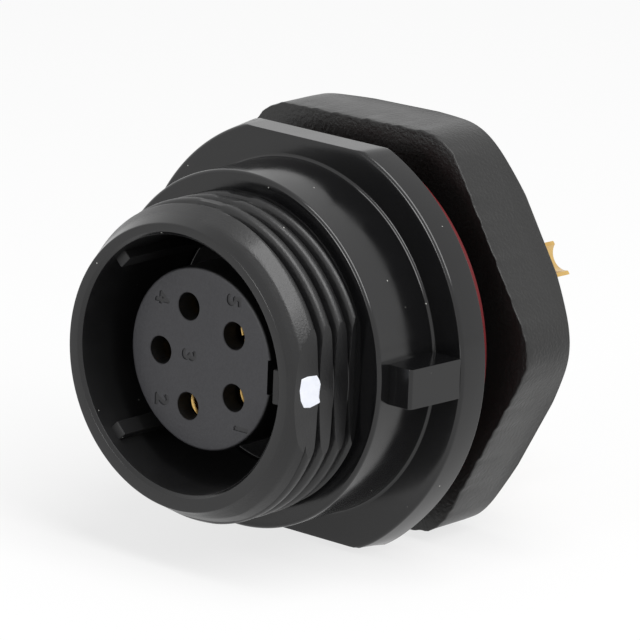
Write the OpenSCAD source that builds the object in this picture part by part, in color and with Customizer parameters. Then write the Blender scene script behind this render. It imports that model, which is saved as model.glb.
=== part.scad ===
// Circular connector: a panel receptacle with female contacts, fixed by a nut behind the panel.
// The axis runs along Y. The coupling nose points to -Y and the solder tails to +Y. The key side is +X.
// The origin is the centre of the flange face that the panel seal lies on.

/* [Coupling nose] */
// Length of the nose in front of the flange's panel face
nose_length = 8.95; // [8:0.05:12]
// Outside diameter of the coupling thread
coupling_d = 14; // [13.4:0.1:15]
// Distance across the two moulded flats that interrupt the thread
coupling_flats = 12.85; // [12.5:0.05:13.3]
// Diameter of the flat rim face
rim_d = 12.8; // [12.2:0.1:13.2]
// Length of the lead-in chamfer behind the rim face
rim_chamfer = 0.55; // [0.3:0.05:0.8]
// Diameter of the bore that the plug enters
mating_bore_d = 11.2; // [10.6:0.1:11.6]
// Depth of that bore from the rim face
mating_depth = 6.35; // [5:0.05:7]
// Chamfer at the bore's mouth
bore_chamfer = 0.15; // [0.05:0.05:0.3]

/* [Polarising keys] */
// Width of the main key in the bore
main_key_w = 1.5; // [1:0.05:2]
// Height of the main key off the bore wall
main_key_h = 0.9; // [0.5:0.05:1.2]
// Width of each side key
side_key_w = 0.75; // [0.5:0.05:1.2]
// Height of each side key off the bore wall
side_key_h = 0.5; // [0.3:0.05:0.9]
// Angle of the side keys from the main key
side_key_angle = 135; // [90:1:150]
// Distance of the keys' front ends behind the rim face
key_setback = 0.6; // [0.3:0.05:2]

/* [Collar and flange] */
// Diameter of the collar behind the thread
collar_d = 15.6; // [15.2:0.1:16.8]
// Length of the collar in front of the flange
collar_length = 3.55; // [3.2:0.05:5]
// Distance of the flange's edge inside the nut's turned corners
flange_inset = 0.3; // [0:0.05:0.6]
// Taper of the flange's edge towards the front
flange_draft = 0.17; // [0.02:0.01:0.3]
// Thickness of the flange
flange_t = 1.35; // [1:0.05:2.5]
// Distance of the flange's top and bottom flats inside the nut's flats
flat_inset = 0.25; // [0:0.05:0.5]
// Chamfer on the front edges of collar and flange
edge_chamfer = 0.1; // [0.05:0.05:0.4]
// Blend where the collar meets the flange
root_blend = 0.25; // [0.1:0.05:0.4]
// Width of the locating block on the flange
block_w = 1.75; // [1.2:0.05:2.2]
// Length of the locating block in front of the flange
block_length = 2.95; // [1.5:0.05:3.5]
// Distance of the locating block's end inside the flange's edge
block_inset = 0.15; // [0.15:0.05:0.9]
// Taper of the locating block's end towards the front
block_draft = 0.3; // [0.05:0.05:0.4]

/* [Panel barrel] */
// Outside diameter of the barrel that passes through the panel
barrel_d = 13; // [12.4:0.1:14]
// Length of the barrel behind the flange
barrel_length = 8.5; // [7.5:0.1:12]
// Inside diameter of the barrel
barrel_bore_d = 9.2; // [9.1:0.05:9.5]
// Chamfer at the barrel's end
barrel_chamfer = 0.5; // [0.2:0.05:0.7]
// Thickness of the web that the insert seats on
web_t = 1.6; // [1:0.1:2]

/* [Insert] */
// Diameter of the insert's front post
insert_d = 7.96; // [7.4:0.02:8.4]
// Radial step from the post to the neck that fits the web
neck_step = 0.27; // [0.2:0.01:0.4]
// Distance of the insert's face behind the rim face
insert_setback = 1.5; // [0.8:0.05:2.5]
// Thickness of the insert's flange behind the web
insert_flange_t = 3.6; // [3:0.1:4.5]
// Width of the notch in the insert's edge
notch_w = 1.5; // [1:0.1:2]
// Depth of the notch in the insert's edge
notch_depth = 0.35; // [0.2:0.05:0.5]
// Chamfer around the insert's face
insert_chamfer = 0.08; // [0.04:0.02:0.2]
// Radial clearance of pieces that slide together inside the shell
fit_gap = 0.03; // [0.02:0.01:0.06]

/* [Contacts] */
// Diameter of the circle that the contacts stand on
contact_pcd = 4.6; // [4.4:0.05:4.9]
// Diameter of each entry hole at the insert's face
entry_d = 1.26; // [1.2:0.02:1.5]
// Thickness of the insert's lip in front of each contact
lip_t = 0.75; // [0.5:0.05:1.2]
// Outside diameter of a contact's socket
socket_d = 1.76; // [1.7:0.02:1.8]
// Bore of a contact's socket
socket_bore_d = 1.12; // [1.02:0.02:1.14]
// Depth of a contact's socket
socket_depth = 5; // [4:0.1:6]
// Width of the slot that divides a socket into two springs
slot_w = 0.2; // [0.1:0.05:0.3]
// Length of that slot
slot_length = 3.4; // [2:0.1:3.8]
// Diameter of the shoulder that holds a contact in the insert
shoulder_d = 2.2; // [2:0.05:2.4]
// Thickness of that shoulder
shoulder_t = 1.5; // [0.8:0.1:2]
// Outside diameter of a solder tail
tail_d = 1.8; // [1.76:0.02:1.9]
// Distance of the tails' tips behind the flange's panel face
tail_reach = 14.2; // [13:0.1:17]
// Bore of a solder cup
cup_bore_d = 1.44; // [1.3:0.02:1.5]
// Depth of a solder cup
cup_depth = 3.8; // [3:0.1:4.5]
// Length over which a cup's outer half is cut away
cup_cut = 2.4; // [1.5:0.1:2.8]

/* [Rear insulator and ring] */
// Thickness of the ring that closes the barrel
ring_t = 1.1; // [0.8:0.1:1.5]
// Width of that ring's wall
ring_w = 0.9; // [0.6:0.05:1.2]
// Distance of the ring inside the barrel's end
ring_setback = 0.3; // [0:0.05:0.6]

/* [Seals] */
// Section diameter of the ring that seals the insert
insert_seal_d = 0.7; // [0.6:0.05:0.8]
// Width of the groove that holds it
groove_w = 0.95; // [0.9:0.05:1.2]
// Outside diameter of the flat panel seal
panel_seal_d = 17.2; // [16.8:0.1:18.8]
// Thickness of the flat panel seal
panel_seal_t = 1.2; // [0.5:0.05:1.5]
// Distance of the panel seal's flats inside the flange's flats
seal_flat_inset = 0.6; // [0.3:0.05:1]
// Radial clearance of the panel seal around the barrel
panel_seal_gap = 0.1; // [0.05:0.05:0.3]

/* [Nut] */
// Distance across the nut's flats
nut_af = 18; // [17:0.1:20]
// Height of the nut's turned corners above its flats
corner_height = 0.75; // [0.6:0.05:1]
// Thickness of the nut
nut_t = 3.25; // [2.5:0.05:4]
// Gap between the panel seal and the nut
nut_standoff = 1.1; // [0.2:0.05:2]
// Radial clearance of the nut's thread on the barrel
nut_clearance = 0.05; // [0.02:0.01:0.1]
// Chamfer at both ends of the nut's thread
nut_chamfer = 0.4; // [0.2:0.05:0.6]
// Width of the cone turned on the nut's rear corners
cone_w = 0.5; // [0.2:0.05:0.7]
// Length of that cone along the axis
cone_length = 0.3; // [0.15:0.05:0.6]
// Angle of the tightened nut's flats from the flange's flats
nut_turn = 1; // [0:1:59]

/* [Hidden] */
$fn = 96;
cut = 0.5;
contact_count = 5;
first_contact_angle = -36;

nut_corner_r = nut_af / 2 + corner_height;
flange_r = nut_corner_r - flange_inset;
flat_reach = nut_af / 2 - flat_inset;
block_reach = flange_r - block_inset;

coupling_r = coupling_d / 2;
flat_r = coupling_flats / 2;
mating_bore_r = mating_bore_d / 2;
collar_r = collar_d / 2;
barrel_r = barrel_d / 2;
barrel_bore_r = barrel_bore_d / 2;
insert_r = insert_d / 2;
neck_r = insert_r + neck_step;
socket_r = socket_d / 2;
shoulder_r = shoulder_d / 2;
tail_r = tail_d / 2;

// Stations along the axis, from the rim to the tips of the tails
rim_y = -nose_length;
collar_y = -flange_t - collar_length;
flange_y = -flange_t;
insert_y = rim_y + insert_setback;
contact_y = insert_y + lip_t;
floor_y = rim_y + mating_depth;
web_rear_y = floor_y + web_t;
insert_rear_y = web_rear_y + insert_flange_t;
ring_rear_y = barrel_length - ring_setback;
ring_y = ring_rear_y - ring_t;
nut_y = panel_seal_t + nut_standoff;

// The insert's own seal sits in the middle of the insert's flange
insert_flange_r = barrel_bore_r - fit_gap;
seal_mid_r = barrel_bore_r - insert_seal_d / 2 - fit_gap / 2;
groove_r = seal_mid_r - insert_seal_d / 2 - fit_gap / 2;
groove_mid_y = (web_rear_y + insert_rear_y) / 2;

// A solid turned about the Y axis from an outline of [radius, y] points
module turned(outline) {
    rotate([-90, 0, 0])
        rotate_extrude()
            polygon(outline);
}

// A round rod along Y from one station to another
module rod(d, from_y, to_y) {
    translate([0, from_y, 0])
        rotate([-90, 0, 0])
            cylinder(d = d, h = to_y - from_y);
}

// A straight-sided block, centred on the XY plane
module block(from_x, to_x, from_y, to_y, w) {
    translate([from_x, from_y, -w / 2])
        cube([to_x - from_x, to_y - from_y, w]);
}

// Turns what follows about the axis, anticlockwise as seen from the front
module at_angle(a) {
    rotate([0, -a, 0])
        children();
}

// Places what follows on each contact's axis
module at_contacts() {
    for (n = [1 : contact_count])
        at_contact(n)
            children();
}

module at_contact(n) {
    at_angle(first_contact_angle - (n - 1) * 360 / contact_count)
        translate([contact_pcd / 2, 0, 0])
            children();
}

// Shell: nose, collar, flange and panel barrel, moulded in one piece
module shell_body() {
    turned([
        [mating_bore_r + bore_chamfer, rim_y],
        [rim_d / 2, rim_y],
        [coupling_r, rim_y + rim_chamfer],
        [coupling_r, collar_y],
        [collar_r - edge_chamfer, collar_y],
        [collar_r, collar_y + edge_chamfer],
        [collar_r, flange_y - root_blend],
        [collar_r + root_blend, flange_y],
        [flange_r - flange_draft - edge_chamfer, flange_y],
        [flange_r - flange_draft, flange_y + edge_chamfer],
        [flange_r, 0],
        [barrel_r, 0],
        [barrel_r, barrel_length - barrel_chamfer],
        [barrel_r - barrel_chamfer, barrel_length],
        [barrel_bore_r, barrel_length],
        [barrel_bore_r, web_rear_y],
        [neck_r + fit_gap, web_rear_y],
        [neck_r + fit_gap, floor_y],
        [mating_bore_r, floor_y],
        [mating_bore_r, rim_y + bore_chamfer]
    ]);
}

// One key on the bore wall, rooted in the wall and standing on the floor of the bore
module key(w, h) {
    block(mating_bore_r - h, (mating_bore_r + flat_r) / 2, rim_y + key_setback, floor_y + web_t / 2, w);
}

// The block on the key side, rooted in collar and flange, with a tapered end
module locating_block() {
    front_y = flange_y - block_length;
    end_x = block_reach - block_draft;
    translate([0, 0, -block_w / 2])
        linear_extrude(height = block_w)
            polygon([
                [collar_r - root_blend, front_y],
                [end_x - edge_chamfer, front_y],
                [end_x, front_y + edge_chamfer],
                [block_reach, flange_y / 2],
                [collar_r - root_blend, flange_y / 2]
            ]);
}

// The pair of flats that the mould's parting leaves across the thread
module coupling_flat_cuts() {
    for (side = [0, 180])
        at_angle(side)
            block(flat_r, coupling_r + cut, rim_y - cut, collar_y, coupling_d);
}

// The pair of flats at the flange's top and bottom
module flange_flat_cuts() {
    for (side = [90, 270])
        at_angle(side)
            block(flat_reach, flange_r + cut, flange_y - cut, cut, 2 * flange_r);
}

module shell() {
    color("#1d1d1f")
        difference() {
            union() {
                shell_body();
                key(main_key_w, main_key_h);
                for (side = [-1, 1])
                    at_angle(side * side_key_angle)
                        key(side_key_w, side_key_h);
                locating_block();
            }
            coupling_flat_cuts();
            flange_flat_cuts();
        }
}

// Insert: the front insulator, with a flange that seats behind the web
module insert() {
    color("#55565a")
        difference() {
            turned([
                [0, insert_y],
                [insert_r - insert_chamfer, insert_y],
                [insert_r, insert_y + insert_chamfer],
                [insert_r, floor_y],
                [neck_r, floor_y],
                [neck_r, web_rear_y],
                [insert_flange_r, web_rear_y],
                [insert_flange_r, groove_mid_y - groove_w / 2],
                [groove_r, groove_mid_y - groove_w / 2],
                [groove_r, groove_mid_y + groove_w / 2],
                [insert_flange_r, groove_mid_y + groove_w / 2],
                [insert_flange_r, insert_rear_y],
                [0, insert_rear_y]
            ]);
            block(insert_r - notch_depth, insert_r + cut, insert_y - cut, floor_y, notch_w);
            at_contacts()
                contact_cavity();
        }
}

// The stepped hole that takes one contact: a tapered entry, the socket's bore and the shoulder's seat
module contact_cavity() {
    turned([
        [0, insert_y - cut],
        [entry_d / 2, insert_y - cut],
        [entry_d / 2, insert_y],
        [socket_bore_d / 2, contact_y],
        [socket_r + fit_gap, contact_y],
        [socket_r + fit_gap, insert_rear_y - shoulder_t],
        [shoulder_r + fit_gap, insert_rear_y - shoulder_t],
        [shoulder_r + fit_gap, insert_rear_y + cut],
        [0, insert_rear_y + cut]
    ]);
}

// Contact: a slotted socket, a shoulder and a tail with an open solder cup, turned from one rod
module contact(n) {
    tip_chamfer = (socket_d - socket_bore_d) / 4;
    color("#d9b45a")
        at_contact(n)
            difference() {
                turned([
                    [0, contact_y],
                    [socket_r - tip_chamfer, contact_y],
                    [socket_r, contact_y + tip_chamfer],
                    [socket_r, insert_rear_y - shoulder_t],
                    [shoulder_r, insert_rear_y - shoulder_t],
                    [shoulder_r, insert_rear_y],
                    [tail_r, insert_rear_y],
                    [tail_r, tail_reach],
                    [0, tail_reach]
                ]);
                rod(socket_bore_d, contact_y - cut, contact_y + socket_depth);
                block(-socket_d, socket_d, contact_y - cut, contact_y + slot_length, slot_w);
                rod(cup_bore_d, tail_reach - cup_depth, tail_reach + cut);
                block(0, tail_d, tail_reach - cup_cut, tail_reach + cut, 2 * tail_d);
            }
}

module contact_1() contact(1);
module contact_2() contact(2);
module contact_3() contact(3);
module contact_4() contact(4);
module contact_5() contact(5);

// Insert seal: the ring in the groove of the insert's flange
module insert_seal() {
    color("#2b2b2b")
        translate([0, groove_mid_y, 0])
            rotate([-90, 0, 0])
                rotate_extrude()
                    translate([seal_mid_r, 0])
                        circle(d = insert_seal_d);
}

// Contact retainer: the rear insulator that holds the contacts' shoulders in the insert
module contact_retainer() {
    color("#3c3d40")
        difference() {
            rod(2 * insert_flange_r, insert_rear_y, ring_y);
            at_contacts()
                rod(tail_d + 2 * fit_gap, insert_rear_y - cut, ring_y + cut);
        }
}

// Retaining ring: closes the barrel and holds the stack against the web
module retaining_ring() {
    ring_bevel = ring_t / 4;
    color("#242426")
        turned([
            [insert_flange_r - ring_w, ring_y],
            [insert_flange_r, ring_y],
            [insert_flange_r, ring_rear_y],
            [insert_flange_r - ring_w + ring_bevel, ring_rear_y],
            [insert_flange_r - ring_w, ring_rear_y - ring_bevel]
        ]);
}

// Panel seal: a flat ring on the flange's panel face, with flats like the flange's
module panel_seal() {
    color("#c62828")
        difference() {
            rod(panel_seal_d, 0, panel_seal_t);
            rod(barrel_d + 2 * panel_seal_gap, -cut, panel_seal_t + cut);
            for (side = [90, 270])
                at_angle(side)
                    block(flat_reach - seal_flat_inset, flange_r, -cut, panel_seal_t + cut, panel_seal_d);
        }
}

// Nut: a hexagon with turned corners, coned off at the rear, and flats at top and bottom
module hex_nut() {
    rear_y = nut_y + nut_t;
    thread_r = barrel_r + nut_clearance;
    color("#2a2a2b")
        difference() {
            intersection() {
                at_angle(nut_turn)
                    translate([0, nut_y, 0])
                        rotate([-90, 0, 0])
                            cylinder(d = nut_af / cos(30), h = nut_t, $fn = 6);
                turned([
                    [0, nut_y],
                    [nut_corner_r, nut_y],
                    [nut_corner_r, rear_y - cone_length],
                    [nut_corner_r - cone_w, rear_y],
                    [0, rear_y]
                ]);
            }
            turned([
                [0, nut_y - cut],
                [thread_r + nut_chamfer + cut, nut_y - cut],
                [thread_r, nut_y + nut_chamfer],
                [thread_r, rear_y - nut_chamfer],
                [thread_r + nut_chamfer + cut, rear_y + cut],
                [0, rear_y + cut]
            ]);
        }
}

shell();
insert();
contact_1();
contact_2();
contact_3();
contact_4();
contact_5();
insert_seal();
contact_retainer();
retaining_ring();
panel_seal();
hex_nut();
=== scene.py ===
import math

import bmesh
import bpy
from mathutils import Matrix, Vector


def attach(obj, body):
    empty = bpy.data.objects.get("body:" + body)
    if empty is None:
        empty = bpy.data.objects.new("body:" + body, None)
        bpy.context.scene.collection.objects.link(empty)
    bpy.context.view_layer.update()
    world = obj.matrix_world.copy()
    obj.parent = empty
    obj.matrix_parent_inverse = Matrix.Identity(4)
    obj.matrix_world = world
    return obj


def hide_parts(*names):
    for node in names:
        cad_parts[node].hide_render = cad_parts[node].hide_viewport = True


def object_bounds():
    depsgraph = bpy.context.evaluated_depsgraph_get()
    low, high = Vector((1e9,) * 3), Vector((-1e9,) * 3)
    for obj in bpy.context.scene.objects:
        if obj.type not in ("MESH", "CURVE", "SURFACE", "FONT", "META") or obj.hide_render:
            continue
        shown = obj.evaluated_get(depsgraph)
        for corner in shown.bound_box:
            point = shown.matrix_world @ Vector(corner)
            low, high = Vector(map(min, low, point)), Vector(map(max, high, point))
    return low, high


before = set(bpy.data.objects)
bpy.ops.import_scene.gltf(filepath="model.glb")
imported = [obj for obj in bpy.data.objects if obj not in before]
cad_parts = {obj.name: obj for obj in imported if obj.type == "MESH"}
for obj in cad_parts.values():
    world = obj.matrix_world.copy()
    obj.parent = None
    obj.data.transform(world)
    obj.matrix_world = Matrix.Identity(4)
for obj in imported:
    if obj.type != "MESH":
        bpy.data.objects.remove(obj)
cadLow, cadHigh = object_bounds()
scene = bpy.context.scene
mm = 0.001  # pieces are drawn in millimetres and scaled once, when they are finished
print("frame loaded with", len(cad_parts), "nodes")


# Mesh tools

def roundCorners(corners, steps=4):
    # corners are (radius, y, rounding); each rounded one becomes an arc between its neighbours
    points = []
    for i, (r, y, rounding) in enumerate(corners):
        here = Vector((r, y))
        if rounding == 0:
            points.append((r, y))
            continue
        back = (Vector(corners[i - 1][:2]) - here).normalized()
        ahead = (Vector(corners[(i + 1) % len(corners)][:2]) - here).normalized()
        half = back.angle(ahead) / 2
        reach = rounding / math.tan(half)
        centre = here + (back + ahead).normalized() * rounding / math.sin(half)
        start = here + back * reach - centre
        end = here + ahead * reach - centre
        for step in range(steps + 1):
            spoke = start.slerp(end, step / steps).normalized() * rounding
            points.append(tuple(centre + spoke))
    return points


def threadBand(thread):
    # rows run along the helix, so crest and root edges stay clean; rows past an end lie on that end
    pitch, start, end, phase = thread["pitch"], thread["start"], thread["end"], thread["phase"]
    crest, root = thread["crest"], thread["root"]
    flank = (pitch - thread["crestWidth"] - thread["rootWidth"]) / 2
    rise = flank + thread["rootWidth"]
    section = roundCorners([
        (-thread["crestWidth"] / 2, crest, 0),
        (0, crest, thread["crestRound"]),
        (flank, root, thread["rootRound"]),
        (rise, root, thread["rootRound"]),
        (rise + flank, crest, thread["crestRound"]),
        (pitch - thread["crestWidth"] / 2, crest, 0),
    ], 5)

    def radiusAt(t):
        for (t0, r0), (t1, r1) in zip(section, section[1:]):
            if t <= t1:
                return r0 + (r1 - r0) * (t - t0) / (t1 - t0)
        return crest

    def rowAt(base):
        def point(turn):
            y = min(max(base + pitch * turn, start), end)
            t = (y - pitch * turn - phase - section[0][0]) % pitch + section[0][0]
            return thread["trim"](radiusAt(t), y, turn % 1), y
        return point

    turns = range(math.floor((start - phase) / pitch) - 1, math.ceil((end - phase) / pitch) + 1)
    rows = [rowAt(phase + n * pitch + t) for n in turns for t, r in section[:-1]]
    return {"rows": rows, "perTurn": len(section) - 1}


def plainBand(corners, flats=None, steps=4):
    # rows of constant radius, cut by flats where there are any
    points = roundCorners(corners, steps)
    if flats is None:
        return {"rows": points, "perTurn": 0}
    rows = [lambda turn, r=r, y=y: (flattedRadius(turn, r, flats), y) for r, y in points]
    return {"rows": rows, "perTurn": 0}


def latheMesh(name, bands, columns):
    # a skin of rows about the Y axis, clockwise from the top as seen from the front
    rows, seam = [], []
    for band in bands:
        first, last = len(rows), len(rows) + len(band["rows"]) - 1
        seam += [min(max(i + band["perTurn"], first), last) for i in range(first, last + 1)]
        rows += band["rows"]
    solid = bmesh.new()
    grid = []
    for k in range(columns):
        turn = k / columns
        angle = math.pi / 2 - math.tau * turn
        column = []
        for row in rows:
            r, y = row(turn) if callable(row) else row
            column.append(solid.verts.new((r * math.cos(angle), y, r * math.sin(angle))))
        grid.append(column)
    ends = [row[0] if isinstance(row, tuple) else None for row in (rows[0], rows[-1])]
    closed = ends != [0, 0]  # a profile that starts and ends on the axis needs no last face
    for k in range(columns):
        here, there = grid[k], grid[(k + 1) % columns]
        for j in range(len(rows) if closed else len(rows) - 1):
            n = (j + 1) % len(rows)
            a, b = (seam[j], seam[n]) if k == columns - 1 else (j, n)
            corners = list(dict.fromkeys((here[j], here[n], there[b], there[a])))
            if len(corners) > 2:
                solid.faces.new(corners)
    bmesh.ops.remove_doubles(solid, verts=solid.verts, dist=0.0004)
    bmesh.ops.dissolve_degenerate(solid, edges=solid.edges, dist=0.0003)
    bmesh.ops.delete(solid, geom=[v for v in solid.verts if not v.link_faces], context="VERTS")
    bmesh.ops.recalc_face_normals(solid, faces=solid.faces)
    return meshObject(name, solid)


def meshObject(name, solid):
    mesh = bpy.data.meshes.new(name)
    solid.to_mesh(mesh)
    solid.free()
    piece = bpy.data.objects.new(name, mesh)
    scene.collection.objects.link(piece)
    return piece


def flattedRadius(turn, r, flats):
    # a turned outline with flats, the first at the top; rows inside the full radius step in there too
    off = ((turn + flats["turn"]) * flats["count"] + 0.5) % 1 - 0.5
    across = flats["reach"] / max(math.cos(off / flats["count"] * math.tau), 0.1)
    return min(r, across - max(0, flats["full"] - r))


def softBlock(name, low, high, rounding=0.0, spin=0.0):
    # a block between two corners with rounded edges, turned about the axis as seen from the front
    solid = bmesh.new()
    size = Vector(high) - Vector(low)
    middle = (Vector(high) + Vector(low)) / 2
    turned = Matrix.Rotation(-math.radians(spin), 4, "Y")
    place = turned @ Matrix.Translation(middle) @ Matrix.Diagonal((*size, 1))
    bmesh.ops.create_cube(solid, size=1, matrix=place)
    if rounding:
        bmesh.ops.bevel(
            solid, geom=solid.edges[:], offset=rounding, segments=3, profile=0.5, affect="EDGES")
    bmesh.ops.recalc_face_normals(solid, faces=solid.faces)
    return meshObject(name, solid)


def evaluatedMesh(piece):
    # the mesh that a modifier or a text gives
    bpy.context.view_layer.update()
    return bpy.data.meshes.new_from_object(piece.evaluated_get(bpy.context.evaluated_depsgraph_get()))


def carve(piece, tool, operation="DIFFERENCE"):
    # the boolean is worked out at once and its tool deleted
    change = piece.modifiers.new("carve", "BOOLEAN")
    change.operation = operation
    change.solver = "MANIFOLD"
    change.object = tool
    result = evaluatedMesh(piece)
    piece.modifiers.clear()
    piece.data = result
    bpy.data.objects.remove(tool)


def joined(pieces):
    # several tools as one mesh
    solid = bmesh.new()
    for piece in pieces:
        solid.from_mesh(piece.data)
        bpy.data.objects.remove(piece)
    return meshObject("tools", solid)


def finishPiece(piece, material, body, node=None, sharpAngle=32):
    piece.data.transform(Matrix.Scale(mm, 4))
    piece.data.materials.clear()
    piece.data.materials.append(material)
    piece.data.polygons.foreach_set("use_smooth", [True] * len(piece.data.polygons))
    piece.data.set_sharp_from_angle(angle=math.radians(sharpAngle))
    even = piece.modifiers.new("even normals", "WEIGHTED_NORMAL")
    even.keep_sharp = True
    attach(piece, body)
    if node:
        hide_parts(node)
    print("piece", piece.name, "has", len(piece.data.polygons), "faces")
    return piece


# Material tools

def hexLinear(code):
    # sRGB hex to the linear values that shader sockets take
    channels = [int(code[i:i + 2], 16) / 255 for i in (1, 3, 5)]
    return [c / 12.92 if c <= 0.04045 else ((c + 0.055) / 1.055) ** 2.4 for c in channels] + [1.0]


def addNode(tree, kind, settings={}, values={}, links={}):
    # settings are the node's own options, values its sockets' numbers, links what feeds its sockets
    node = tree.nodes.new(kind)
    for option, value in settings.items():
        setattr(node, option, value)
    for socket, value in values.items():
        node.inputs[socket].default_value = value
    for socket, source in links.items():
        tree.links.new(source, node.inputs[socket])
    return node


def perMm(size):
    # texture scale for a pattern whose cells measure this many millimetres
    return 1 / (size * mm)


def startMaterial(name):
    material = bpy.data.materials.new(name)
    material.use_nodes = True
    tree = material.node_tree
    surface = tree.nodes["Principled BSDF"]
    place = addNode(tree, "ShaderNodeTexCoord").outputs["Object"]
    return material, tree, surface, place


def zoneMask(tree, place, zone):
    # 1 in front of a station and on the toR side of a radius about the axis, 0 elsewhere
    station = addNode(tree, "ShaderNodeSeparateXYZ", {}, {}, {0: place})
    ahead = addNode(tree, "ShaderNodeMapRange", {},
                    {"From Min": zone["behindY"] * mm, "From Max": (zone["behindY"] - 0.06) * mm},
                    {"Value": station.outputs[1]})
    across = addNode(tree, "ShaderNodeVectorMath", {"operation": "MULTIPLY"}, {1: (1, 0, 1)}, {0: place})
    away = addNode(tree, "ShaderNodeVectorMath", {"operation": "LENGTH"}, {}, {0: across.outputs[0]})
    outside = addNode(tree, "ShaderNodeMapRange", {},
                      {"From Min": zone["fromR"] * mm, "From Max": zone["toR"] * mm},
                      {"Value": away.outputs["Value"]})
    return addNode(tree, "ShaderNodeMath", {"operation": "MULTIPLY"}, {},
                   {0: ahead.outputs[0], 1: outside.outputs[0]}).outputs[0]


def mouldedPlastic(name, look):
    # two noises: a broad one for uneven gloss, a fine one for the grain of the mould; dust lies on top
    material, tree, surface, place = startMaterial(name)
    broad = addNode(
        tree, "ShaderNodeTexNoise", {}, {"Scale": perMm(look["patchMm"]), "Detail": 3}, {"Vector": place})
    grain = addNode(
        tree, "ShaderNodeTexNoise", {}, {"Scale": perMm(look["grainMm"]), "Detail": 4}, {"Vector": place})
    tint = addNode(
        tree, "ShaderNodeMix", {"data_type": "RGBA"},
        {6: hexLinear(look["dark"]), 7: hexLinear(look["light"])},
        {0: grain.outputs["Fac"]},
    )
    gloss = addNode(
        tree, "ShaderNodeMapRange", {},
        {"From Min": 0.3, "From Max": 0.7, "To Min": look["roughLow"], "To Max": look["roughHigh"]},
        {"Value": broad.outputs["Fac"]},
    )
    specks = addNode(
        tree, "ShaderNodeTexVoronoi", {}, {"Scale": perMm(look["dustSpacingMm"])}, {"Vector": place})
    chance = addNode(tree, "ShaderNodeSeparateColor", {}, {}, {0: specks.outputs["Color"]})
    speckShare = look["dustMm"] / look["dustSpacingMm"]
    small = addNode(
        tree, "ShaderNodeMapRange", {}, {"From Min": speckShare, "From Max": speckShare * 0.6},
        {"Value": specks.outputs["Distance"]})
    few = addNode(
        tree, "ShaderNodeMath", {"operation": "LESS_THAN"},
        {1: look["dustShare"]}, {0: chance.outputs[0]})
    dust = addNode(
        tree, "ShaderNodeMath", {"operation": "MULTIPLY"}, {}, {0: small.outputs[0], 1: few.outputs[0]})
    colour = addNode(
        tree, "ShaderNodeMix", {"data_type": "RGBA"}, {7: hexLinear(look["dust"])},
        {0: dust.outputs[0], 6: tint.outputs[2]})
    if "behind" in look:
        # painted shade: only the face keeps the grey; what lies behind it (the hole walls, the notch and
        # the post's side) is coloured near black for the shade in the holes and recesses
        colour = addNode(
            tree, "ShaderNodeMix", {"data_type": "RGBA"}, {6: hexLinear(look["behind"])},
            {0: zoneMask(tree, place, look["face"]), 7: colour.outputs[2]})
    relief = addNode(
        tree, "ShaderNodeBump", {},
        {"Strength": look["grainStrength"], "Distance": look["grainDepthMm"] * mm},
        {"Height": grain.outputs["Fac"]})
    swell = addNode(
        tree, "ShaderNodeBump", {},
        {"Strength": look["patchStrength"], "Distance": look["patchDepthMm"] * mm},
        {"Height": broad.outputs["Fac"], "Normal": relief.outputs[0]})
    rough = gloss.outputs[0]
    for zone in look.get("dull", []):
        mask = zoneMask(tree, place, zone)
        rough = addNode(tree, "ShaderNodeMath", {"operation": "MULTIPLY_ADD"}, {1: zone["moreRough"]},
                        {0: mask, 2: rough}).outputs[0]
        if zone["moreGrain"]:
            more = addNode(tree, "ShaderNodeMath", {"operation": "MULTIPLY_ADD"},
                           {1: zone["moreGrain"], 2: look["grainStrength"]}, {0: mask})
            tree.links.new(more.outputs[0], relief.inputs["Strength"])
    tree.links.new(rough, surface.inputs["Roughness"])
    tree.links.new(colour.outputs[2], surface.inputs["Base Color"])
    tree.links.new(swell.outputs[0], surface.inputs["Normal"])
    surface.inputs["IOR"].default_value = look["ior"]
    return material


# Black glass-filled nylon from a polished mould: near black, mirrors the studio softly, faint flow marks
shellPlastic = mouldedPlastic("moulded_black_nylon_polished", {
    "dark": "#0b0b0c", "light": "#101011", "dust": "#b9b9b4", "ior": 1.5,
    "patchMm": 1.1, "patchDepthMm": 0.002, "patchStrength": 0.4, "roughLow": 0.13, "roughHigh": 0.2,
    "grainMm": 0.09, "grainDepthMm": 0.004, "grainStrength": 0.08,
    "dustSpacingMm": 0.6, "dustMm": 0.036, "dustShare": 0.26,
    "dull": [
        {"behindY": -4.92, "fromR": 6.25, "toR": 6.5, "moreRough": 0.2, "moreGrain": 2.5},
        {"behindY": -2.75, "fromR": 5.64, "toR": 5.59, "moreRough": 0.45, "moreGrain": 0},
    ],
})

# The same nylon from a spark-eroded mould: black but dull, with a grain that breaks up the light
nutPlastic = mouldedPlastic("moulded_black_nylon_spark_grain", {
    "dark": "#0c0c0c", "light": "#151514", "dust": "#8d8b86", "ior": 1.5,
    "patchMm": 2.5, "patchDepthMm": 0.01, "patchStrength": 0.4, "roughLow": 0.34, "roughHigh": 0.42,
    "grainMm": 0.14, "grainDepthMm": 0.03, "grainStrength": 0.9,
    "dustSpacingMm": 0.9, "dustMm": 0.035, "dustShare": 0.2,
})

# Dark grey filled polyester, fine matt mould: an even dark grey with a powdery look on the front face;
# everything behind the face is painted near black as shade in the holes and recesses
insertPlastic = mouldedPlastic("moulded_grey_polyester_matt", {
    "dark": "#1e1e21", "light": "#333337", "dust": "#9b9b98", "ior": 1.5,
    "patchMm": 1.6, "patchDepthMm": 0.004, "patchStrength": 0.3, "roughLow": 0.45, "roughHigh": 0.55,
    "grainMm": 0.11, "grainDepthMm": 0.016, "grainStrength": 0.9,
    "dustSpacingMm": 0.9, "dustMm": 0.03, "dustShare": 0.08,
    # painted shade: the near black colour behind the front face stands in for the shade in the holes, the
    # notch and the recesses
    "behind": "#0a0a0a", "face": {"behindY": -7.385, "fromR": -1, "toR": -0.5},
})


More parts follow.
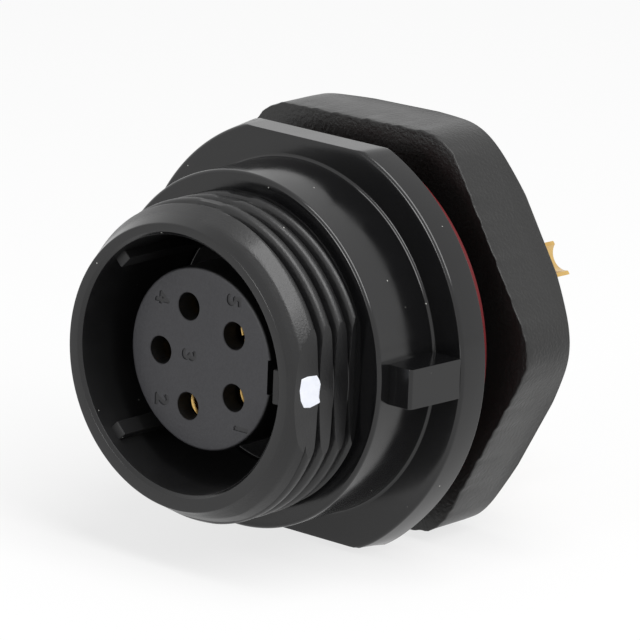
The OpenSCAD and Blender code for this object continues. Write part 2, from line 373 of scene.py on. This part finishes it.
def goldPlating(name, look):
    # turned brass under gold: fine tool rings round each contact stay visible in the gloss
    material, tree, surface, place = startMaterial(name)
    cloud = addNode(
        tree, "ShaderNodeTexNoise", {}, {"Scale": perMm(look["cloudMm"]), "Detail": 3}, {"Vector": place})
    flat = addNode(tree, "ShaderNodeMapping", {}, {"Scale": (0.05, 1, 0.05)}, {"Vector": place})
    rings = addNode(tree, "ShaderNodeTexNoise", {}, {"Scale": perMm(look["ringMm"]), "Detail": 2},
                    {"Vector": flat.outputs[0]})
    tint = addNode(tree, "ShaderNodeMix", {"data_type": "RGBA"},
                   {6: hexLinear(look["deep"]), 7: hexLinear(look["pale"])}, {0: cloud.outputs["Fac"]})
    gloss = addNode(
        tree, "ShaderNodeMapRange", {}, {"To Min": look["roughLow"], "To Max": look["roughHigh"]},
        {"Value": cloud.outputs["Fac"]})
    relief = addNode(tree, "ShaderNodeBump", {}, {"Strength": 0.5, "Distance": look["ringDepthMm"] * mm},
                     {"Height": rings.outputs["Fac"]})
    tree.links.new(tint.outputs[2], surface.inputs["Base Color"])
    tree.links.new(gloss.outputs[0], surface.inputs["Roughness"])
    tree.links.new(relief.outputs[0], surface.inputs["Normal"])
    surface.inputs["Metallic"].default_value = 1
    return material


# Gold flash on turned brass: warm yellow, bright, with soft-edged highlights
contactGold = goldPlating("turned_brass_gold_plated", {
    "deep": "#c0924a", "pale": "#efd28e", "cloudMm": 0.8, "ringMm": 0.08, "ringDepthMm": 0.003,
    "roughLow": 0.18, "roughHigh": 0.3,
})


def pressedRubber(name, look):
    # soft sheen, a little bloom and the faint texture of the press plate
    material, tree, surface, place = startMaterial(name)
    bloom = addNode(
        tree, "ShaderNodeTexNoise", {}, {"Scale": perMm(look["bloomMm"]), "Detail": 4}, {"Vector": place})
    tint = addNode(tree, "ShaderNodeMix", {"data_type": "RGBA"},
                   {6: hexLinear(look["deep"]), 7: hexLinear(look["pale"])}, {0: bloom.outputs["Fac"]})
    gloss = addNode(
        tree, "ShaderNodeMapRange", {}, {"To Min": look["roughLow"], "To Max": look["roughHigh"]},
        {"Value": bloom.outputs["Fac"]})
    relief = addNode(tree, "ShaderNodeBump", {}, {"Strength": 0.4, "Distance": look["reliefMm"] * mm},
                     {"Height": bloom.outputs["Fac"]})
    tree.links.new(tint.outputs[2], surface.inputs["Base Color"])
    tree.links.new(gloss.outputs[0], surface.inputs["Roughness"])
    tree.links.new(relief.outputs[0], surface.inputs["Normal"])
    surface.inputs["IOR"].default_value = look["ior"]
    return material


# Red silicone cut from sheet: deep red, satin
panelSilicone = pressedRubber("cut_red_silicone_sheet", {
    "deep": "#560b10", "pale": "#651116", "bloomMm": 0.5, "reliefMm": 0.006,
    "roughLow": 0.5, "roughHigh": 0.62, "ior": 1.42,
})

# Black nitrile rubber, pressed: dull black with a grey bloom
sealRubber = pressedRubber("pressed_black_nitrile", {
    "deep": "#121212", "pale": "#1d1d1c", "bloomMm": 0.35, "reliefMm": 0.004,
    "roughLow": 0.5, "roughHigh": 0.65, "ior": 1.52,
})

# White marking paint, dabbed on: cool white, matt, a little uneven
markPaint = pressedRubber("dabbed_white_marking_paint", {
    "deep": "#dfe3ee", "pale": "#f2f4fa", "bloomMm": 0.3, "reliefMm": 0.006,
    "roughLow": 0.45, "roughHigh": 0.6, "ior": 1.5,
})
print("materials made")


# Shell: coupling nose, collar, flange and panel barrel in one moulding

shell = {
    "columns": 288, "edgeRound": 0.03,
    "rimY": -8.95, "rimR": 6.2, "rimRound": 0.05, "rimFlare": 0.04,
    "boreR": 5.6, "boreChamfer": 0.15, "floorY": -2.6, "floorRound": 0.12,
    "collarY": -4.9, "collarR": 7.8, "frontRound": 0.17, "rootFillet": 0.14,
    "flangeY": -1.35, "flangeR": 9.52, "flangeFrontR": 9.36, "flangeRearRound": 0.06,
    "flangeFlats": {"count": 2, "turn": 0, "reach": 8.75, "full": 9.28},
    "lowerFlat": {"fromR": 8.6, "longer": 0.16, "atZ": 8.81, "power": 12},
    "barrelEnd": 8.5, "barrelBoreR": 4.6, "barrelChamfer": 0.5, "endFaceR": 5.4,
    "webR": 4.28, "webRearY": -1.0,
    "flatX": 6.425, "flatToolReach": (9, 9.5, 4),
    "blockRootX": 7.5, "blockFrontY": -4.3, "blockEndX": 9.0, "blockRearY": -0.675, "blockRearX": 9.3,
    "blockHalf": 0.875, "blockChamfer": 0.1,
    "keyFrontGap": 0.6, "keyRearY": -1.8, "keyRootR": 5.95, "keyRound": 0.06,
    "keys": ((1.5, 0.74, 0), (0.7, 0.45, 135), (0.7, 0.45, -135)),  # width, height, degrees from +X
    "sag": 0.12, "sagFromR": 6, "noseR": 7.1,
}
couplingThread = {
    "pitch": 0.95, "crest": 7.0, "root": 6.38, "crestWidth": 0.46, "rootWidth": 0.08,
    "crestRound": 0.3, "rootRound": 0.04, "phase": -4.82, "start": -8.9, "end": -4.9,
    "landTurn": 0.0, "landHalf": 0.012, "landSlope": 14, "landR": 6.8, "landTop": 6.92,
    "fillY": -7.98, "fillSlope": 4,
    "leadSlope": 0.54, "chamferLength": 0.5, "coneSlope": 0.47, "steepFrom": 0.1, "steepOver": 0.4,
    "trim": lambda r, y, turn: couplingTrim(r, y, turn),
}
barrelThread = {
    "pitch": 1.0, "crest": 6.5, "root": 5.95, "crestWidth": 0.2, "rootWidth": 0.14,
    "crestRound": 0.1, "rootRound": 0.04, "phase": 0.0, "start": 0.0, "end": shell["barrelEnd"],
    "trim": lambda r, y, turn: min(
        r, barrelThread["crest"] - max(0, y - (shell["barrelEnd"] - shell["barrelChamfer"]))),
}


def leadIn(y, turn):
    # towards the key a steep chamfer and then a gentle cone up to the first crest, elsewhere one cone
    t = couplingThread
    along = y - shell["rimY"]
    steep = min(along, t["chamferLength"] + (along - t["chamferLength"]) * t["coneSlope"])
    share = min(max((math.sin(math.tau * turn) - t["steepFrom"]) / t["steepOver"], 0), 1)
    plain = along * t["leadSlope"]
    return shell["rimR"] + plain + (steep - plain) * share


def landLimits(turn):
    # the thread runs out at the top, where the mould's halves meet: grooves rise and crests sink there
    t = couplingThread
    off = abs((turn - t["landTurn"] + 0.5) % 1 - 0.5)
    away = max(0, off - t["landHalf"])
    return t["landR"] - away * t["landSlope"], t["landTop"] + away * t["landSlope"]


def couplingTrim(r, y, turn):
    # the groove next to the rim is filled, so the thread starts with a wide ridge
    low, high = landLimits(turn)
    fill = couplingThread["crest"] - couplingThread["fillSlope"] * (y - couplingThread["fillY"])
    return min(max(r, low, fill), high, leadIn(y, turn))


def locatingBlock():
    # a block that grows a little towards the flange, with one chamfered front edge
    s = shell
    block = softBlock("block", (s["blockRootX"], s["blockFrontY"], -s["blockHalf"]),
                      (s["blockRearX"], s["blockRearY"], s["blockHalf"]))
    middleX, middleY = (s["blockRootX"] + s["blockRearX"]) / 2, (s["blockFrontY"] + s["blockRearY"]) / 2
    shaped = bmesh.new()
    shaped.from_mesh(block.data)
    corner = [v for v in shaped.verts if v.co.x > middleX and v.co.y < middleY]
    for v in corner:
        v.co.x = s["blockEndX"]
    edge = [e for e in shaped.edges if all(v in corner for v in e.verts)]
    bmesh.ops.bevel(shaped, geom=edge, offset=s["blockChamfer"], segments=1, affect="EDGES")
    bmesh.ops.bevel(
        shaped, geom=shaped.edges[:], offset=s["edgeRound"], segments=2, profile=0.5, affect="EDGES")
    shaped.to_mesh(block.data)
    shaped.free()
    return block


def settleMould(piece):
    # the mould's outer half sits a little low, and the flange's lower flat is longer than the upper one
    s, flat, hair = shell, shell["lowerFlat"], 0.001
    for v in piece.data.vertices:
        reach = math.hypot(v.co.x, v.co.z)
        outer = reach > s["noseR"]
        if v.co.y < hair and reach > s["sagFromR"] and (outer or v.co.y < s["collarY"] + hair):
            v.co.z -= s["sag"] / 2 if outer else s["sag"]
        if s["flangeY"] - 0.05 < v.co.y < hair and reach > flat["fromR"] and v.co.z < 0:
            v.co.x *= 1 + flat["longer"] * (v.co.z / flat["atZ"]) ** flat["power"]


def makeShell():
    s, soft = shell, shell["edgeRound"]
    collar = plainBand([
        (s["collarR"] - 0.4, s["collarY"], 0),
        (s["collarR"], s["collarY"], s["frontRound"]),
        (s["collarR"], s["flangeY"], s["rootFillet"]),
        (s["collarR"] + s["rootFillet"] + 0.03, s["flangeY"], 0),
    ], steps=8)
    flange = plainBand([
        (s["flangeFrontR"] - 0.45, s["flangeY"], 0),
        (s["flangeFrontR"], s["flangeY"], s["frontRound"]),
        (s["flangeR"], 0, s["flangeRearRound"]),
        (s["flangeR"] - 0.45, 0, 0),
    ], s["flangeFlats"], 8)
    inside = plainBand([
        (s["endFaceR"], s["barrelEnd"], 0),
        (s["barrelBoreR"], s["barrelEnd"], 0.15),
        (s["barrelBoreR"], s["webRearY"], 0),
        (s["webR"], s["webRearY"], 0.05),
        (s["webR"], s["floorY"], 0.05),
        (s["boreR"], s["floorY"], s["floorRound"]),
        (s["boreR"], s["rimY"] + s["boreChamfer"], soft),
        (s["boreR"] + s["boreChamfer"], s["rimY"], soft),
        (s["rimR"], s["rimY"], s["rimRound"]),
        (s["rimR"] + s["rimFlare"], s["rimY"] + s["rimRound"], 0),
    ])
    bands = [threadBand(couplingThread), collar, flange, threadBand(barrelThread), inside]
    piece = latheMesh("shell_moulding", bands, s["columns"])
    beyondX, beyondY, beyondZ = s["flatToolReach"]
    flats = []
    for side in (-1, 1):
        near, far = sorted((side * s["flatX"], side * beyondX))
        flats.append(softBlock("flat", (near, -beyondY, -beyondZ), (far, s["collarY"], beyondZ)))
    carve(piece, joined(flats))
    keys = [
        softBlock("key", (s["boreR"] - height, s["rimY"] + s["keyFrontGap"], -width / 2),
                  (s["keyRootR"], s["keyRearY"], width / 2), s["keyRound"], angle)
        for width, height, angle in s["keys"]
    ]
    carve(piece, joined(keys + [locatingBlock()]), "UNION")
    settleMould(piece)
    return finishPiece(piece, shellPlastic, "connector", "shell")


makeShell()


# Paint dab on the nose's flat, which marks the key side

paintDab = {
    "sunk": 0.02, "thick": 0.03, "inset": 0.06,
    "outline": [
        (-8.42, 0.17), (-8.32, 0.65), (-7.92, 0.69), (-7.36, 0.63), (-7.19, 0.40),
        (-7.11, 0.21), (-7.16, -0.05), (-7.18, -0.36), (-7.10, -0.58), (-7.26, -0.62),
        (-7.72, -0.69), (-8.12, -0.62), (-8.33, -0.29),
    ],
}


def makePaintDab():
    d = paintDab
    count = len(d["outline"])
    centre = Vector((sum(y for y, z in d["outline"]), sum(z for y, z in d["outline"]))) / count
    solid = bmesh.new()
    rings = []
    for lift, inset in ((-d["sunk"], 0), (d["thick"] * 0.5, 0), (d["thick"], d["inset"])):
        ring = []
        for y, z in d["outline"]:
            spoke = Vector((y, z)) - centre
            spot = centre + spoke * (1 - inset / spoke.length)
            ring.append(solid.verts.new((shell["flatX"] + lift, spot.x, spot.y)))
        rings.append(ring)
    for low, high in zip(rings, rings[1:]):
        for i in range(count):
            solid.faces.new((low[i], low[(i + 1) % count], high[(i + 1) % count], high[i]))
    solid.faces.new(rings[0])
    solid.faces.new(rings[-1])
    bmesh.ops.recalc_face_normals(solid, faces=solid.faces)
    piece = meshObject("paint_dab", solid)
    return finishPiece(piece, markPaint, "connector", sharpAngle=60)


makePaintDab()


# Insert: matt insulator with five stepped holes, a notch for the key and sunk contact numbers

insert = {
    "columns": 192, "faceY": -7.45, "postR": 3.98, "neckR": 4.25, "flangeR": 4.57, "edgeRound": 0.13,
    "floorY": -2.6, "webRearY": -1.0, "rearY": 2.6,
    "grooveR": 3.87, "grooveFrom": 0.325, "grooveTo": 1.275,
    "holeCircleR": 2.3, "entryR": 0.6, "flare": 0.06, "flareHalf": 0.03, "throatR": 0.56, "lipEndY": -6.7,
    "cavityR": 0.91, "seatY": 1.1, "seatR": 1.13, "toolClear": 0.3,
    "notchWidth": 1.5, "notchDepth": 0.2,
    "numberHeight": 1.05, "numberDepth": 0.04, "numberBold": 0.025, "numberSpread": 0.028,
    "numbers": {
        "1": (2.35, -2.58), "2": (-2.18, -2.23), "3": (-0.7, 0.04), "4": (-2.32, 2.26), "5": (1.74, 2.92),
    },
}
contactNumbers = range(1, 6)


def contactAngle(n):
    return -34.5 - 72 * (n - 1)  # degrees from the key, anticlockwise as seen from the front


def contactPlace(n):
    turn = Matrix.Rotation(-math.radians(contactAngle(n)), 4, "Y")
    return turn @ Matrix.Translation((insert["holeCircleR"], 0, 0))


def holeTools(section):
    # the same turned tool in every contact's place
    tools = []
    for n in contactNumbers:
        tool = latheMesh("hole", [section], 48)
        tool.data.transform(contactPlace(n))
        tools.append(tool)
    return joined(tools)


def numberTool(text, spot):
    i = insert
    words = bpy.data.curves.new("number", "FONT")
    words.body = text
    words.size = i["numberHeight"]
    words.align_x = "CENTER"
    words.align_y = "CENTER"
    words.extrude = i["numberDepth"]
    words.offset = i["numberBold"]
    words.resolution_u = 4
    holder = bpy.data.objects.new("number", words)
    scene.collection.objects.link(holder)
    mesh = evaluatedMesh(holder)
    bpy.data.objects.remove(holder)
    # the numbers stand a quarter turn clockwise, with their tops towards the key
    facing = Matrix(((0, 1, 0, spot[0]), (0, 0, -1, i["faceY"]), (-1, 0, 0, spot[1]), (0, 0, 0, 1)))
    mesh.transform(facing)
    solid = bmesh.new()
    solid.from_mesh(mesh)
    bmesh.ops.remove_doubles(solid, verts=solid.verts, dist=0.0005)
    bmesh.ops.recalc_face_normals(solid, faces=solid.faces)
    return meshObject("number_" + text, solid)


def makeInsert():
    i = insert
    body = plainBand([
        (0, i["faceY"], 0),
        (3.2, i["faceY"], 0),
        (i["postR"], i["faceY"], i["edgeRound"]),
        (i["postR"], i["floorY"], 0),
        (i["neckR"], i["floorY"], 0.05),
        (i["neckR"], i["webRearY"], 0),
        (i["flangeR"], i["webRearY"], 0.05),
        (i["flangeR"], i["grooveFrom"], 0.05),
        (i["grooveR"], i["grooveFrom"], 0),
        (i["grooveR"], i["grooveTo"], 0),
        (i["flangeR"], i["grooveTo"], 0.05),
        (i["flangeR"], i["rearY"], 0.05),
        (0, i["rearY"], 0),
    ])
    piece = latheMesh("insert_moulding", [body], i["columns"])
    hole = plainBand([
        (0, i["faceY"] - i["toolClear"], 0),
        (i["entryR"] + i["flare"], i["faceY"] - i["toolClear"], 0),
        (i["entryR"] + i["flare"], i["faceY"] - i["flareHalf"], 0),
        (i["entryR"], i["faceY"] + i["flareHalf"], 0),
        (i["throatR"], i["lipEndY"], 0),
        (i["cavityR"], i["lipEndY"], 0),
        (i["cavityR"], i["seatY"], 0),
        (i["seatR"], i["seatY"], 0),
        (i["seatR"], i["rearY"] + i["toolClear"], 0),
        (0, i["rearY"] + i["toolClear"], 0),
    ])
    carve(piece, holeTools(hole))
    notch = softBlock("notch", (i["postR"] - i["notchDepth"], i["faceY"] - 0.5, -i["notchWidth"] / 2),
                      (i["postR"] + 0.5, i["floorY"] - 0.02, i["notchWidth"] / 2), 0.03)
    carve(piece, notch)
    for text, (x, z) in i["numbers"].items():
        for side in (-i["numberSpread"], i["numberSpread"]):
            carve(piece, numberTool(text, (x + side, z + side)))
    return finishPiece(piece, insertPlastic, "connector", "insert")


makeInsert()


# Contacts: slotted sockets in front, open solder cups behind, turned from rod

contact = {
    "columns": 64, "mouthY": -6.7, "boreR": 0.56, "socketR": 0.88, "socketEnd": -1.7, "leadIn": 0.1,
    "shoulderR": 1.1, "shoulderFrom": 1.1, "shoulderTo": 2.6, "tailR": 0.9, "tipY": 14.2,
    "cupR": 0.72, "cupDepth": 3.8, "cupCut": 2.4, "cupCutX": -0.3, "slotWidth": 0.2, "slotLength": 3.4,
    "sunk": {1: 0.45, 2: 0.2, 3: 0.8, 4: 0.8, 5: 0.45}, "sway": {5: -0.3}, "longer": {5: 0.45},
}


def makeContact(n):
    c = contact
    section = plainBand([
        (0, c["socketEnd"], 0),
        (c["boreR"], c["socketEnd"], 0),
        (c["boreR"], c["mouthY"] + c["leadIn"], 0.03),
        (c["boreR"] + c["leadIn"], c["mouthY"], 0.02),
        (c["socketR"] - 0.12, c["mouthY"], 0.03),
        (c["socketR"], c["mouthY"] + 0.16, 0.05),
        (c["socketR"], c["shoulderFrom"], 0),
        (c["shoulderR"], c["shoulderFrom"], 0.05),
        (c["shoulderR"], c["shoulderTo"], 0.05),
        (c["tailR"], c["shoulderTo"], 0),
        (c["tailR"], c["tipY"], 0.04),
        (c["cupR"], c["tipY"], 0.04),
        (c["cupR"], c["tipY"] - c["cupDepth"], 0),
        (0, c["tipY"] - c["cupDepth"] - 0.3, 0),
    ], steps=3)
    piece = latheMesh(f"contact_{n}_turned", [section], c["columns"])
    slot = softBlock("slot", (-2, c["mouthY"] - 1, -c["slotWidth"] / 2),
                     (2, c["mouthY"] + c["slotLength"], c["slotWidth"] / 2))
    cup = softBlock("cup", (c["cupCutX"], c["tipY"] - c["cupCut"], -2), (2, c["tipY"] + 1, 2))
    carve(piece, joined([slot, cup]))
    for v in piece.data.vertices:
        if v.co.y < c["socketEnd"] - 1:
            v.co.y += c["sunk"][n]
        if v.co.y > c["shoulderTo"] + 0.1:
            v.co.y += c["longer"].get(n, 0)
            v.co.z += c["sway"].get(n, 0) * (v.co.y - c["shoulderTo"]) / (c["tipY"] - c["shoulderTo"])
    piece.data.transform(contactPlace(n))
    return finishPiece(piece, contactGold, "connector", f"contact_{n}")


for n in contactNumbers:
    makeContact(n)


# Rear insulator and retaining ring, seen from behind in the barrel

retainer = {"columns": 128, "outerR": 4.57, "frontY": 2.6, "rearY": 7.1, "edgeRound": 0.05, "holeR": 0.93,
            "mouthDepth": 0.08, "mouthSpread": 0.3, "toolClear": 0.5}
ring = {"columns": 160, "outerR": 4.57, "innerR": 3.67, "frontY": 7.1, "rearY": 8.2, "bevel": 0.275}


def makeRetainer():
    r = retainer
    body = plainBand([
        (0, r["frontY"], 0),
        (r["outerR"], r["frontY"], r["edgeRound"]),
        (r["outerR"], r["rearY"], r["edgeRound"]),
        (0, r["rearY"], 0),
    ])
    piece = latheMesh("contact_retainer_disc", [body], r["columns"])
    mouthY = r["rearY"] - r["mouthDepth"]
    hole = plainBand([
        (0, r["frontY"] - r["toolClear"], 0),
        (r["holeR"], r["frontY"] - r["toolClear"], 0),
        (r["holeR"], mouthY, 0.02),
        (r["holeR"] + r["mouthSpread"], mouthY + r["mouthSpread"], 0),
        (0, mouthY + r["mouthSpread"], 0),
    ])
    carve(piece, holeTools(hole))
    # painted shade: this disc lies wholly behind the insert's face, so the insert's material colours it
    # near black all over
    return finishPiece(piece, insertPlastic, "connector", "contact_retainer")


def makeRing():
    r = ring
    body = plainBand([
        (r["innerR"], r["frontY"], 0), (r["outerR"], r["frontY"], 0), (r["outerR"], r["rearY"], 0.06),
        (r["innerR"] + r["bevel"], r["rearY"], 0.05), (r["innerR"], r["rearY"] - r["bevel"], 0.05),
    ])
    piece = latheMesh("retaining_ring_pressed", [body], r["columns"])
    return finishPiece(piece, shellPlastic, "connector", "retaining_ring")


makeRetainer()
makeRing()


# Panel seal: flat red ring with edges a little soft from cutting

panelSeal = {
    "columns": 240, "innerR": 6.6, "outerR": 8.6, "thick": 1.2, "edgeRound": 0.08,
    "faceFrom": 7.0, "faceTo": 8.0,
    "flats": {"count": 2, "turn": 0, "reach": 8.15, "full": 8.6},
}


def makePanelSeal():
    p = panelSeal
    outside = plainBand([
        (p["faceTo"], 0, 0),
        (p["outerR"], 0, p["edgeRound"]),
        (p["outerR"], p["thick"], p["edgeRound"]),
        (p["faceTo"], p["thick"], 0),
    ], p["flats"])
    inside = plainBand([
        (p["faceFrom"], p["thick"], 0),
        (p["innerR"], p["thick"], p["edgeRound"]),
        (p["innerR"], 0, p["edgeRound"]),
        (p["faceFrom"], 0, 0),
    ])
    piece = latheMesh("panel_seal_ring", [outside, inside], p["columns"])
    return finishPiece(piece, panelSilicone, "connector", "panel_seal")


makePanelSeal()


# Hexagon nut: grained moulding with turned corners and a coarse inner thread

nut = {
    "columns": 360, "flatR": 8.91, "cornerR": 9.92, "blend": 0.35, "turn": 1.17, "lift": 0.1,
    "coneR": 9.09, "coneSlope": 0.68, "frontY": 2.3, "rearY": 5.73, "edgeRound": 0.06,
    "faceR": 8.3, "mouthR": 6.95, "sideFrom": 0.4, "sideTo": 1.1, "rag": 0.016, "ragWaves": (37, 61, 97),
}
nutThread = {
    "pitch": 1.0, "crest": 7.0, "root": 6.54, "crestWidth": 0.16, "rootWidth": 0.2,
    "crestRound": 0.03, "rootRound": 0.03, "phase": 0.1, "start": nut["frontY"], "end": nut["rearY"],
    "trim": lambda r, y, turn: max(r, nut["mouthR"] - min(y - nut["frontY"], nut["rearY"] - y)),
}


def nutRadius(turn):
    # six flats and turned corners, blended into each other
    n = nut
    off = ((turn + n["turn"] / 360) * 6 + 0.5) % 1 - 0.5
    flat = n["flatR"] / math.cos(off / 6 * math.tau)
    near = max(n["blend"] - abs(flat - n["cornerR"]), 0) / n["blend"]
    return min(flat, n["cornerR"]) - near ** 2 * n["blend"] / 4


def nutFrontRow(share):
    # the front edge is rounded and a little ragged from the mould
    n = nut
    angle = share * math.pi / 2

    def point(turn):
        rag = sum(math.sin(math.tau * count * turn + count) for count in n["ragWaves"]) * n["rag"]
        r = nutRadius(turn) - n["edgeRound"] * (1 - math.sin(angle)) + rag
        return r, n["frontY"] + n["edgeRound"] * (1 - math.cos(angle))
    return point


def nutRearRow(inward, ahead):
    # the rear's corners are turned to a cone; inward is the share of the way down it
    n = nut

    def point(turn):
        r = nutRadius(turn)
        over = max(0, r - n["coneR"])
        return r - over * inward - 0.3 * ahead, n["rearY"] - over * n["coneSlope"] * (1 - inward) - ahead
    return point


def makeNut():
    n = nut
    front = [(n["faceR"], n["frontY"])] + [nutFrontRow(k / 4) for k in range(5)]
    side = [
        lambda turn: (nutRadius(turn), n["frontY"] + n["sideFrom"]),
        lambda turn: (nutRadius(turn), n["rearY"] - n["sideTo"]),
    ]
    rear = [nutRearRow(0, 0.05), nutRearRow(0.02, 0), nutRearRow(0.5, 0), nutRearRow(1, 0)]
    rear.append((n["faceR"], n["rearY"]))
    thread = threadBand(nutThread)
    bands = [
        {"rows": front + side + rear, "perTurn": 0},
        # here the outline runs back to the front
        {"rows": thread["rows"][::-1], "perTurn": -thread["perTurn"]},
    ]
    piece = latheMesh("hex_nut_moulding", bands, n["columns"])
    for v in piece.data.vertices:
        if math.hypot(v.co.x, v.co.z) > n["faceR"] - 0.05:
            v.co.z += n["lift"]
    return finishPiece(piece, nutPlastic, "nut", "hex_nut")


makeNut()
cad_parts["insert_seal"].material_slots[0].material = sealRubber
print("pieces made")


# Floor, light and camera

studio = {
    "floorGap": 0.02, "floorSize": 4.0, "floorColour": "#f4f4f4", "floorGlow": 0.75,
    "skyDiffuse": 0.35,
    "keyFrom": (-0.14, -0.96, 0.22), "keyDistance": 0.36,
    "keyWide": 0.12, "keyDeep": 0.1, "keyWatts": 0.3,
    "topFrom": (0.5, -0.06, 0.86), "topDistance": 0.34,
    "topWide": 0.19, "topDeep": 0.42, "topWatts": 1.3,
}


def whereSeen(tree):
    # 1 for what the camera, a reflection or a clear material sees, 0 for plain light
    path = addNode(tree, "ShaderNodeLightPath")
    direct = addNode(tree, "ShaderNodeMath", {"operation": "MAXIMUM"}, {},
                     {0: path.outputs["Is Camera Ray"], 1: path.outputs["Is Glossy Ray"]})
    return addNode(tree, "ShaderNodeMath", {"operation": "MAXIMUM"}, {},
                   {0: direct.outputs[0], 1: path.outputs["Is Transmission Ray"]}).outputs[0]


def makeStudio():
    s = studio
    world = bpy.data.worlds.new("white_studio")
    world.use_nodes = True
    scene.world = world
    tree = world.node_tree
    sky = tree.nodes["Background"]
    sky.inputs["Color"].default_value = (1, 1, 1, 1)
    level = addNode(tree, "ShaderNodeMapRange", {}, {"To Min": s["skyDiffuse"], "To Max": 1.0},
                    {"Value": whereSeen(tree)})
    tree.links.new(level.outputs[0], sky.inputs["Strength"])

    solid = bmesh.new()
    low = cadLow.z - s["floorGap"] * mm
    bmesh.ops.create_grid(solid, x_segments=1, y_segments=1, size=s["floorSize"] / 2,
                          matrix=Matrix.Translation((0, 0, low)))
    floor = meshObject("floor", solid)
    # matt paper, partly its own white, so that the shadow stays soft
    paper = bpy.data.materials.new("white_paper_sweep")
    paper.use_nodes = True
    tree = paper.node_tree
    matt = tree.nodes["Principled BSDF"]
    matt.inputs["Base Color"].default_value = hexLinear(s["floorColour"])
    matt.inputs["Roughness"].default_value = 0.9
    matt.inputs["Specular IOR Level"].default_value = 0.0
    glow = addNode(tree, "ShaderNodeEmission", {}, {"Strength": 1.0})
    share = addNode(
        tree, "ShaderNodeMath", {"operation": "MULTIPLY"}, {1: s["floorGlow"]}, {0: whereSeen(tree)})
    blend = addNode(tree, "ShaderNodeMixShader", {}, {},
                    {0: share.outputs[0], 1: matt.outputs[0], 2: glow.outputs[0]})
    tree.links.new(blend.outputs[0], tree.nodes["Material Output"].inputs["Surface"])
    floor.data.materials.append(paper)

    for name in ("key", "top"):
        lamp = bpy.data.lights.new(name + "_softbox", "AREA")
        lamp.shape = "RECTANGLE"
        lamp.size = s[name + "Wide"]
        lamp.size_y = s[name + "Deep"]
        lamp.energy = s[name + "Watts"]
        holder = bpy.data.objects.new(name + "_softbox", lamp)
        scene.collection.objects.link(holder)
        away = Vector(s[name + "From"]).normalized()
        holder.location = away * s[name + "Distance"]
        holder.rotation_euler = away.to_track_quat("Z", "Y").to_euler()


view = {"azimuth": 40.505, "elevation": 15.215, "roll": 2.087, "distance": 0.2633, "focalPixels": 6087,
        "imagePixels": 640, "sensor": 36.0, "right": 0.169, "up": 0.356}


def makeCamera():
    v = view
    turn, lift, roll = (math.radians(v[k]) for k in ("azimuth", "elevation", "roll"))
    back = Vector((math.sin(turn) * math.cos(lift), -math.cos(turn) * math.cos(lift), math.sin(lift)))
    level = Vector((0, 0, 1)).cross(back).normalized()
    upright = back.cross(level)
    right = math.cos(roll) * level + math.sin(roll) * upright
    up = -math.sin(roll) * level + math.cos(roll) * upright
    lens = bpy.data.cameras.new("camera")
    lens.sensor_width = v["sensor"]
    lens.sensor_fit = "HORIZONTAL"
    lens.lens = v["focalPixels"] / v["imagePixels"] * v["sensor"]
    lens.clip_start = 0.01
    holder = bpy.data.objects.new("camera", lens)
    scene.collection.objects.link(holder)
    pose = Matrix((right, up, back)).transposed().to_4x4()
    pose.translation = back * v["distance"] + (right * v["right"] + up * v["up"]) * mm
    holder.matrix_world = pose
    scene.camera = holder


makeStudio()
makeCamera()
scene.view_settings.view_transform = "Standard"
print("studio and camera set")
